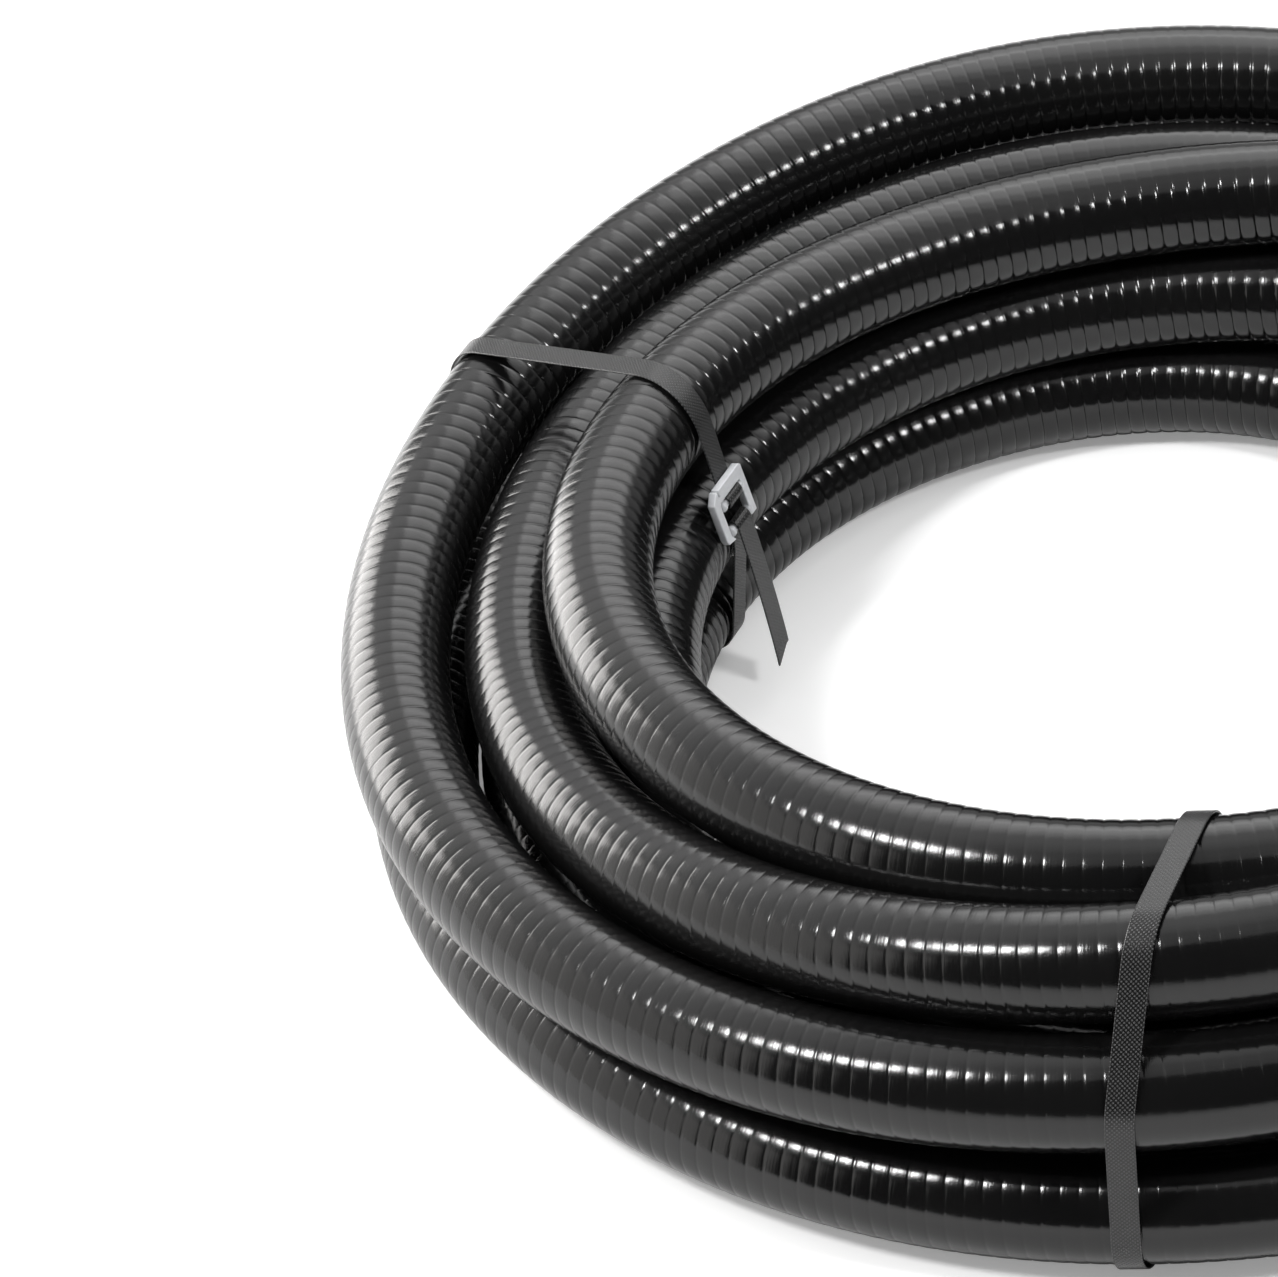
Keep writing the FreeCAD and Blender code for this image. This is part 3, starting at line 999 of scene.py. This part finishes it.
def buckle_shape():
    """The bars of one buckle: x along the prongs, y up the strap, z out of the coil."""
    shape = bmesh.new()
    left, right = closed_inner - rail_width, open_inner + rail_width
    slant = 0.0045
    corner = 0.0012
    long_rail = [(left, rail_foot), (closed_inner, rail_foot), (closed_inner, bar_top)]
    long_rail += [(left + corner, bar_top), (left, bar_top - corner)]
    add_plate(shape, long_rail, plate_half)
    # The crossbar steps down before the open rail, and so leaves a notch
    notch = (open_inner - 0.0018, bar_bottom + 0.0030)
    cross_bar = [(left + corner, bar_bottom), (right - slant, bar_bottom)]
    cross_bar += [(right - slant, notch[1]), notch, (notch[0], bar_top), (left + corner, bar_top)]
    add_plate(shape, cross_bar, plate_half)
    short_rail = [(open_inner, rail_foot), (right, rail_foot + 0.002), (right, bar_top - slant)]
    short_rail += [(right - slant, bar_top), (notch[0] + 0.001, bar_top)]
    short_rail += [(notch[0] + 0.001, bar_bottom), (open_inner, bar_bottom - 0.001)]
    add_plate(shape, short_rail, plate_half)
    # The foot of the open rail turns in, and keeps the lower fold on its prong
    hook = [(open_inner - 0.0024, rail_foot - 0.0012), (right - 0.001, rail_foot)]
    hook += [(right, rail_foot + 0.003), (open_inner - 0.0008, rail_foot + 0.0012)]
    add_plate(shape, hook, plate_half)
    for level in (-prong_spacing / 2, prong_spacing / 2):
        add_round(shape, closed_inner - 0.001, buckle_room / 2, level, prong_radius)
        add_round(shape, closed_inner - 0.001, closed_inner + 0.0006, level, root_radius)
        add_round(shape, buckle_room / 2 + 0.0006, knob_end - 0.0012, level, knob_radius)
    return shape


# %% Milky plastic
def make_buckle_material():
    """A cloudy pale grey that lets some light in under its skin."""
    material, tree = new_shader("milky_polypropylene")
    place = tree.add("ShaderNodeTexCoord", {}, {}, "Object")
    cloud = noise(tree, place, 260.0)
    bump = bumped(tree, noise(tree, place, 1400.0), strength=0.15, distance=0.0001)
    tone = blend(tree, cloud, (0.50, 0.51, 0.53), (0.66, 0.67, 0.69))
    shader = tree.add(
        "ShaderNodeBsdfPrincipled",
        {"subsurface_method": "RANDOM_WALK"},
        {
            "Base Color": tone,
            "Roughness": 0.30 + 0.12 * (cloud - 0.5),
            "Normal": bump,
            "Subsurface Weight": 0.6,
            "Subsurface Radius": (1.0, 1.0, 1.0),
            "Subsurface Scale": 0.002,
        },
    )
    surface_of(tree, shader)
    return material


buckle_material = make_buckle_material()


# %% Melt the bars together and seat each buckle
def melted(shape):
    """A mesh whose overlapping solids are melted into one skin, with its steps smoothed."""
    mesh = bpy.data.meshes.new("buckle_bars")
    shape.to_mesh(mesh)
    shape.free()
    helper = new_piece("buckle_helper", mesh)
    remesh = helper.modifiers.new("melt", "REMESH")
    remesh.mode = "VOXEL"
    remesh.voxel_size = voxel_size
    smoothing = helper.modifiers.new("smooth", "SMOOTH")
    smoothing.factor = 0.5
    smoothing.iterations = 4
    evaluated = helper.evaluated_get(bpy.context.evaluated_depsgraph_get())
    result = bpy.data.meshes.new_from_object(evaluated)
    bpy.data.objects.remove(helper)
    return result


def seat_buckle(name, plane, seat):
    """One buckle on its strap."""
    middle, up, out = seat
    turning = Matrix((plane.onward, plane.way(up), plane.way(out))).transposed().to_4x4()
    mesh = melted(buckle_shape())
    mesh.transform(Matrix.Translation(plane.in_space(middle)) @ turning)
    made_smooth(mesh, no_sharp_edges)
    print("clasp_%s has %d faces" % (name, len(mesh.polygons)))
    return new_piece("clasp_" + name, mesh, buckle_material)


clasps = {}
for name, plane in strap_planes.items():
    clasps[name] = seat_buckle(name, plane, strap_paths[name][1])

# %% [markdown]
# What stands for what
#
# Each piece rides on the one body of the model, and stands for the CAD node that it replaces. The
# hose's whole length is in the coil, and both of its ends are bare.

# %% Tell the frame about the pieces
bpy.data.objects.remove(route)
for piece in [hose_wall] + skins:
    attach(piece, "root")
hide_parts("hose")
for name in strap_table:
    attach(straps[name], "root")
    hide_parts("strap_" + name)
    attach(clasps[name], "root")
    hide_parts("buckle_" + name)

# %% [markdown]
# The floor and the light
#
# Gloss shows its surroundings more than its own colour, so the light is laid out like the studio
# that the reflections tell of. A wide dim light overhead ends just short of the camera's side, a
# brighter lamp hangs low over the back, and a soft light stands at the left before a pale wall.
# The camera's side stays dark, and that gives each turn of hose its black band between two pale
# ones. Two small bright lamps put a spark on every rib that faces them. The background is white
# through the floor's and the world's own colour, not through more light.


# %% Floor
def make_floor_material():
    """White paper, which glows a little where the camera sees it."""
    material, tree = new_shader("white_floor")
    direct = tree.add("ShaderNodeLightPath", {}, {}, "Is Camera Ray")
    seen = tree.clipped(direct + direct.other("Is Transmission Ray"))
    paper = tree.add("ShaderNodeBsdfDiffuse", {}, {"Color": (0.9, 0.9, 0.9, 1)})
    # Far from the lamps the paper itself carries the white, so that no angle shows a grey floor
    place = tree.add("ShaderNodeTexCoord", {}, {}, "Object")
    near, fully_far, near_lift = 1.2, 3.2, 0.25
    away = tree.vector("LENGTH", place, output="Value")
    far = tree.clipped((away - near) / (fully_far - near))
    strength = (near_lift + (1 - near_lift) * far) * seen
    lift = tree.add("ShaderNodeEmission", {}, {"Color": (1, 1, 1, 1), "Strength": strength})
    surface_of(tree, tree.add("ShaderNodeAddShader", {}, {0: paper, 1: lift}))
    return material


def make_floor(reach):
    """A square of floor, reaching this far each way."""
    corners = [(-reach, -reach, 0), (reach, -reach, 0), (reach, reach, 0), (-reach, reach, 0)]
    mesh = bpy.data.meshes.new("floor")
    mesh.from_pydata(corners, [], [(0, 1, 2, 3)])
    return new_piece("floor", mesh, make_floor_material())


make_floor(12.0)


# %% World
def make_world():
    """White where the camera looks, and nearly dark to all else, so that gloss shows the lamps."""
    world = bpy.data.worlds.new("studio")
    bpy.context.scene.world = world
    world.use_nodes = True
    world.node_tree.nodes.clear()
    tree = NodeTree(world.node_tree)
    direct = tree.add("ShaderNodeLightPath", {}, {}, "Is Camera Ray")
    clear = direct.other("Is Transmission Ray")
    glossy = direct.other("Is Glossy Ray")
    # Gloss sees half of the white backdrop behind the coil, which fades in from the sides
    edge_steepness, backdrop_in_gloss = 3.0, 0.5
    direction = tree.add("ShaderNodeTexCoord", {}, {}, "Generated")
    behind = tree.clipped(edge_steepness * tree.part(direction, "Y"))
    seen = tree.clipped(direct + clear + backdrop_in_gloss * glossy * behind)
    matt_fill, common_fill, backdrop = 0.12, 0.03, 0.85
    strength = matt_fill * (1 - glossy) + common_fill + backdrop * seen
    sky = tree.add("ShaderNodeBackground", {}, {"Color": (1, 1, 1, 1), "Strength": strength})
    tree.add("ShaderNodeOutputWorld", {}, {"Surface": sky})


make_world()


# %% Lights
def soft_light(name, place, target, width, height, radiance, colour=(1, 1, 1)):
    """A rectangular soft light of a given brightness, turned to a target."""
    data = bpy.data.lights.new(name, "AREA")
    data.shape = "RECTANGLE"
    data.size = width
    data.size_y = height
    data.energy = math.pi * width * height * radiance
    data.color = colour
    light = new_object(name, data)
    light.visible_camera = False
    aim = (Vector(target) - Vector(place)).to_track_quat("-Z", "Y")
    light.matrix_world = Matrix.Translation(place) @ aim.to_matrix().to_4x4()


# The overhead light is a row of strips from the camera's side to the back. Each has its start,
# its end and its brightness. A lamp hangs lower, over the back of the coil, and is made of strips
# too. Its two halves overlap, which softens its left and right edges.
ceiling = 1.75
ceiling_width = 4.2
strips = [(-0.95, -0.6, 0.6), (-0.6, -0.2, 0.7), (-0.2, 1.0, 0.8)]
strips += [(1.0, 2.6, 1.1), (2.6, 5.2, 0.7)]
lamp_height = 0.95
lamps = [(0.3, 0.55, 1.0), (0.55, 1.15, 2.3), (1.15, 1.35, 4.6)]
lamps += [(1.35, 1.8, 2.4), (1.8, 2.6, 1.2)]
warm = (1.0, 0.98, 0.96)
for start, end, radiance in strips:
    middle = (start + end) / 2
    place = (0.0, middle, ceiling)
    soft_light("overhead", place, (0.0, middle, 0.0), ceiling_width, end - start, radiance)
for start, end, radiance in lamps:
    middle = (start + end) / 2
    for left, right in ((-0.3, 0.95), (-0.1, 1.1)):
        place = ((left + right) / 2, middle, lamp_height)
        below = (place[0], middle, 0.0)
        soft_light("lamp", place, below, right - left, end - start, radiance / 2)
# At the left a soft light stands close behind the coil, before a pale wall
soft_light("left_lamp", (-1.15, 0.78, 0.39), (-0.3, -0.27, 0.39), 0.8, 0.78, 7.0, warm)
soft_light("left_wall", (-2.1, 0.0, 0.85), (0.0, 0.0, 0.85), 2.6, 1.7, 1.2, warm)
soft_light("spark", (1.2, -0.93, 1.76), (0.0, 0.0, 0.0), 0.3, 0.3, 70.0)
soft_light("spark", (-1.45, -0.64, 2.2), (0.0, 0.0, 0.0), 0.3, 0.5, 80.0)

# %% Settings
scene = bpy.context.scene
scene.view_settings.view_transform = "Standard"
